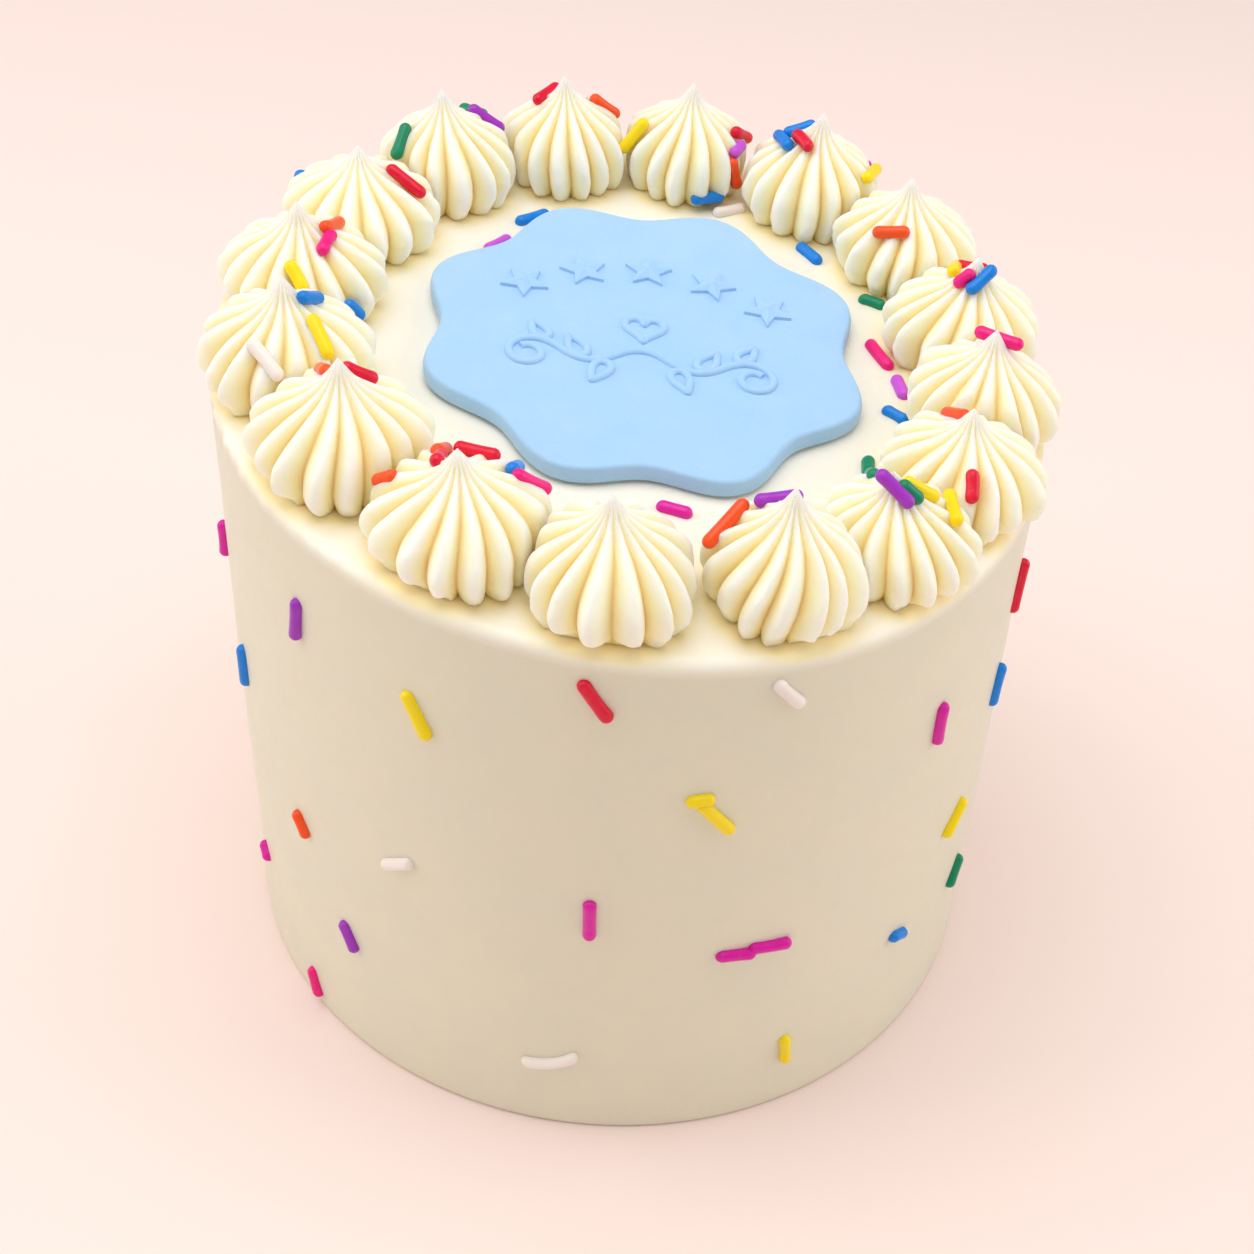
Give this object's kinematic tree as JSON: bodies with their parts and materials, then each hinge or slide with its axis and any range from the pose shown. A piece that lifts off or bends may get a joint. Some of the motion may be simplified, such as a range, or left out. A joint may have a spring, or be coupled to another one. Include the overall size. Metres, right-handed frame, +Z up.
{
  "type": "birthday cake",
  "caption": "Tall round iced cake with a ring of piped icing swirls, coloured sugar sprinkles and a scalloped flat plaque on its top, to stand on a plate or board.",
  "frame": {"origin": "centre of the round underside that the cake stands on", "axes": "+Z up through the cake, -Y towards the front of the pictured view, +X to its right"},
  "size_m": [0.169, 0.1703, 0.1688],
  "materials": {
    "side_icing": "satin",
    "piped_icing": "satin",
    "blue_fondant": "matte"
  },
  "bodies": {
    "root": {"cake": "side_icing", "plaque": "blue_fondant", "swirl_01": "piped_icing", "swirl_02": "piped_icing", "swirl_03": "piped_icing", "swirl_04": "piped_icing", "swirl_05": "piped_icing", "swirl_06": "piped_icing", "swirl_07": "piped_icing", "swirl_08": "piped_icing", "swirl_09": "piped_icing", "swirl_10": "piped_icing", "swirl_11": "piped_icing", "swirl_12": "piped_icing", "swirl_13": "piped_icing", "swirl_14": "piped_icing", "swirl_15": "piped_icing", "swirl_16": "piped_icing"}
  },
  "joints": []
}
